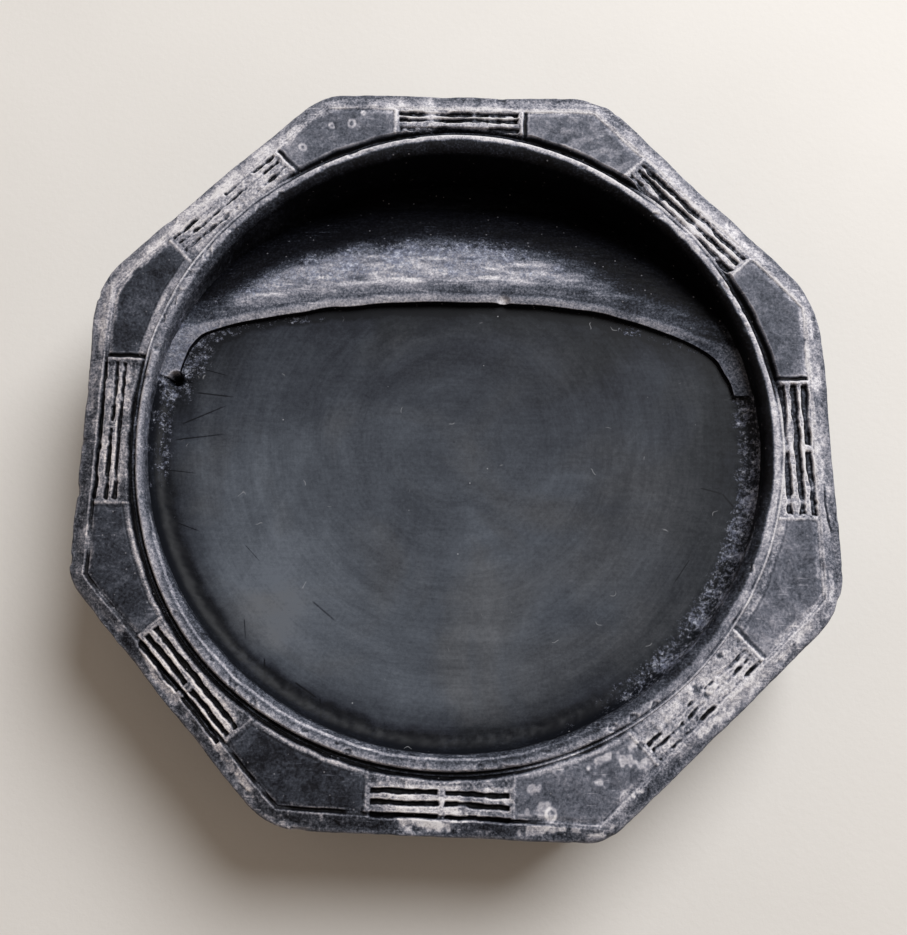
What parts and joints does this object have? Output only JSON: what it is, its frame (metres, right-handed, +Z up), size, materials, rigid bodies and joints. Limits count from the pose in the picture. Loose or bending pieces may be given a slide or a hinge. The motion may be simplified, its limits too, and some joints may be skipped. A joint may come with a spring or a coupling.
{
  "type": "inkstone",
  "caption": "Octagonal carved slate inkstone with a round grinding bed, a crescent ink pool behind a raised lip, and a rim carved with trigram lines and smooth tablets.",
  "frame": {"origin": "on the table, under the middle of the block's outline", "axes": "+Z up, +Y towards the ink pool, +X to the right when the pool is at the far side"},
  "size_m": [0.1328, 0.1336, 0.026],
  "materials": {
    "slate": "honed, with dusty wear in the carving",
    "slate_carved": "chiselled, dusty and worn",
    "slate_polished": "ground smooth and ink stained, satin",
    "slate_pool": "stained black with ink, satin"
  },
  "bodies": {
    "root": {"slab": "slate", "well_ring": "slate_carved", "grinding_bed": "slate_polished", "lip": "slate", "pool_bank": "slate", "pool_floor": "slate_pool", "trigram_water_e": "slate_carved", "trigram_wind_ne": "slate_carved", "trigram_heaven_n": "slate_carved", "trigram_lake_nw": "slate_carved", "trigram_fire_w": "slate_carved", "trigram_thunder_sw": "slate_carved", "trigram_earth_s": "slate_carved", "trigram_mountain_se": "slate_carved", "tablet_ene": "slate", "tablet_nne": "slate", "tablet_nnw": "slate", "tablet_wnw": "slate", "tablet_wsw": "slate", "tablet_ssw": "slate", "tablet_sse": "slate", "tablet_ese": "slate"}
  },
  "joints": []
}
